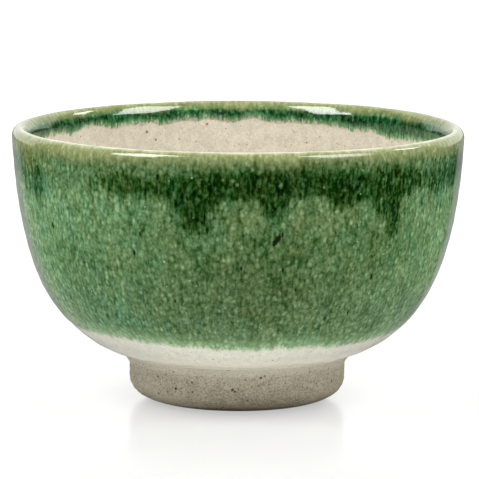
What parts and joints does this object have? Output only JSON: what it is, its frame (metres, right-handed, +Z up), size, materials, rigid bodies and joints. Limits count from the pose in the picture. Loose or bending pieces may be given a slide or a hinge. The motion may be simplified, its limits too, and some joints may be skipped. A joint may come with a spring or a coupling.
{
  "type": "matcha bowl",
  "caption": "Deep stoneware tea bowl on a turned foot ring, cream glaze inside, mottled copper-green glaze outside and over the lip; holds and whisks powdered tea.",
  "frame": {"origin": "centre of the foot ring's circle of contact, on the surface that the bowl stands on", "axes": "+Z up along the bowl's axis of turning; X and Y lie in the surface it stands on, and the bowl is round, so they have no preferred direction"},
  "size_m": [0.12, 0.12, 0.073],
  "materials": {
    "bare_stoneware": "unglazed, fine grey-beige grain with small dark specks",
    "cream_glaze": "glossy cream with fine brown specks",
    "green_glaze": "glossy mottled green, olive at the lip, dark clouds and runs below it"
  },
  "bodies": {
    "root": {"clay_bowl": "bare_stoneware", "foot_ring": "bare_stoneware", "cream_glaze": "cream_glaze", "green_glaze": "green_glaze"}
  },
  "joints": []
}
